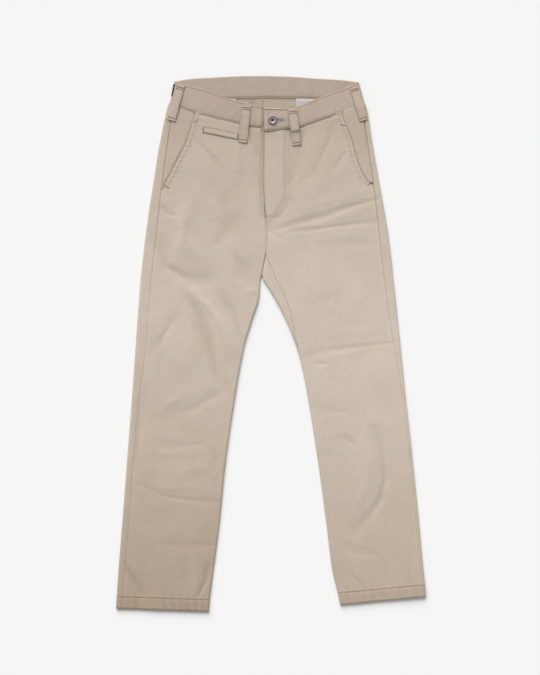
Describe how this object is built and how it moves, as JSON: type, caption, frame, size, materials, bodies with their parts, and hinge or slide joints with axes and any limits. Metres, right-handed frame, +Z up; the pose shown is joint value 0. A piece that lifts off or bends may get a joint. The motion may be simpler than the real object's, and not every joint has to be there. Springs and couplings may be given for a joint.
{
  "type": "chino trousers laid flat",
  "caption": "Beige cotton twill chino trousers laid flat on their back, buttoned and zipped, with slanted front pockets, a small watch pocket welt, belt loops and narrow straight legs.",
  "frame": {"origin": "on the surface the garment lies on, under the middle of its outline", "axes": "+X towards the wearer's left, +Y from the hems to the waist, +Z up, out of the front of the garment"},
  "size_m": [0.6032, 1.0431, 0.0139],
  "materials": {
    "cotton_twill": "matte beige cotton twill, soft from washing",
    "pocketing": "plain white cotton pocketing",
    "patch_leather": "smooth black, blank",
    "button_metal": "dull grey tack button",
    "zip_tape": "woven zip tape"
  },
  "bodies": {
    "root": {"front_right": "cotton_twill", "front_left": "cotton_twill", "back_right": "cotton_twill", "back_left": "cotton_twill", "pocket_facing_right": "cotton_twill", "pocket_facing_left": "cotton_twill", "back_pocket_welt_right": "cotton_twill", "back_pocket_welt_left": "cotton_twill", "watch_pocket_welt": "cotton_twill", "waistband_front_right": "cotton_twill", "waistband_front_left": "cotton_twill", "waistband_back": "cotton_twill", "fly_shield": "cotton_twill", "belt_loop_front_right": "cotton_twill", "belt_loop_front_left": "cotton_twill", "belt_loop_side_right": "cotton_twill", "belt_loop_side_left": "cotton_twill", "belt_loop_centre_back": "cotton_twill", "front_pocket_bag_right": "pocketing", "front_pocket_bag_left": "pocketing", "back_pocket_bag_right": "pocketing", "back_pocket_bag_left": "pocketing", "waist_patch": "patch_leather", "button": "button_metal", "zip": "zip_tape"}
  },
  "joints": []
}
